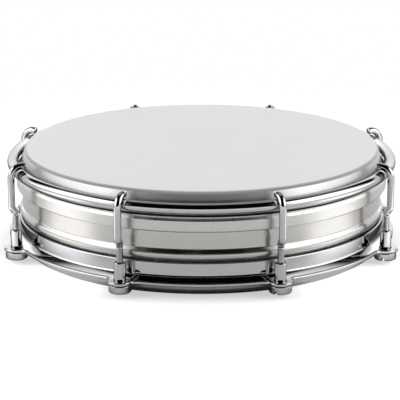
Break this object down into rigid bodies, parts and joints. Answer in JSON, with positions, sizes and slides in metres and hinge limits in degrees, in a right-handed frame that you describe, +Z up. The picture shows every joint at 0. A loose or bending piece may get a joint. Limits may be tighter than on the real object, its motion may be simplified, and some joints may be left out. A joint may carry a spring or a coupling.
{
  "type": "tamborim",
  "caption": "Small single-headed hand drum: beaded steel shell, plastic head, rod counter hoop, and J-hooks drawn by slotted tube nuts in an eared tuning ring.",
  "frame": {"origin": "on the drum's axis, in the plane of the shell's bottom rim that it stands on", "axes": "+Z up along the drum's axis towards the playing face, -Y towards the side the picture sees, +X to the right in it"},
  "size_m": [0.1646, 0.1646, 0.0424],
  "materials": {
    "satin_steel": "stainless sheet, satin, fine brushing round the drum",
    "chrome": "bright chrome plate on steel",
    "film": "white polyester drum film, smooth with a low sheen",
    "aluminium": "rolled aluminium channel, satin",
    "resin": "cast resin, hidden in the channel"
  },
  "bodies": {
    "frame": {"shell": "satin_steel", "tuning_ring": "chrome"},
    "head": {"head_film": "film", "flesh_hoop": "aluminium", "hoop_resin": "resin", "counter_hoop": "chrome", "hook_1": "chrome", "hook_2": "chrome", "hook_3": "chrome", "hook_4": "chrome", "hook_5": "chrome", "hook_6": "chrome", "hook_7": "chrome", "hook_8": "chrome"},
    "nut_1": {"tension_nut_1": "chrome"},
    "nut_2": {"tension_nut_2": "chrome"},
    "nut_3": {"tension_nut_3": "chrome"},
    "nut_4": {"tension_nut_4": "chrome"},
    "nut_5": {"tension_nut_5": "chrome"},
    "nut_6": {"tension_nut_6": "chrome"},
    "nut_7": {"tension_nut_7": "chrome"},
    "nut_8": {"tension_nut_8": "chrome"}
  },
  "joints": [
    {"name": "head_lift", "type": "slide", "parent": "frame", "child": "head", "axis": [0, 0, 1], "range_m": [0, 0.0058]},
    {"name": "nut_1_turn", "type": "hinge", "parent": "frame", "child": "nut_1", "pos_m": [0.03172, -0.07657, 0.005], "axis": [0, 0, 1], "range_deg": [-4180, 0]},
    {"name": "nut_2_turn", "type": "hinge", "parent": "frame", "child": "nut_2", "pos_m": [0.07657, -0.03172, 0.005], "axis": [0, 0, 1], "range_deg": [-4180, 0]},
    {"name": "nut_3_turn", "type": "hinge", "parent": "frame", "child": "nut_3", "pos_m": [0.07657, 0.03172, 0.005], "axis": [0, 0, 1], "range_deg": [-4180, 0]},
    {"name": "nut_4_turn", "type": "hinge", "parent": "frame", "child": "nut_4", "pos_m": [0.03172, 0.07657, 0.005], "axis": [0, 0, 1], "range_deg": [-4180, 0]},
    {"name": "nut_5_turn", "type": "hinge", "parent": "frame", "child": "nut_5", "pos_m": [-0.03172, 0.07657, 0.005], "axis": [0, 0, 1], "range_deg": [-4180, 0]},
    {"name": "nut_6_turn", "type": "hinge", "parent": "frame", "child": "nut_6", "pos_m": [-0.07657, 0.03172, 0.005], "axis": [0, 0, 1], "range_deg": [-4180, 0]},
    {"name": "nut_7_turn", "type": "hinge", "parent": "frame", "child": "nut_7", "pos_m": [-0.07657, -0.03172, 0.005], "axis": [0, 0, 1], "range_deg": [-4180, 0]},
    {"name": "nut_8_turn", "type": "hinge", "parent": "frame", "child": "nut_8", "pos_m": [-0.03172, -0.07657, 0.005], "axis": [0, 0, 1], "range_deg": [-4180, 0]}
  ],
  "couplings": [
    {"joint": "nut_1_turn", "follows": "head_lift", "rad_per_m": -12566},
    {"joint": "nut_2_turn", "follows": "head_lift", "rad_per_m": -12566},
    {"joint": "nut_3_turn", "follows": "head_lift", "rad_per_m": -12566},
    {"joint": "nut_4_turn", "follows": "head_lift", "rad_per_m": -12566},
    {"joint": "nut_5_turn", "follows": "head_lift", "rad_per_m": -12566},
    {"joint": "nut_6_turn", "follows": "head_lift", "rad_per_m": -12566},
    {"joint": "nut_7_turn", "follows": "head_lift", "rad_per_m": -12566},
    {"joint": "nut_8_turn", "follows": "head_lift", "rad_per_m": -12566}
  ]
}
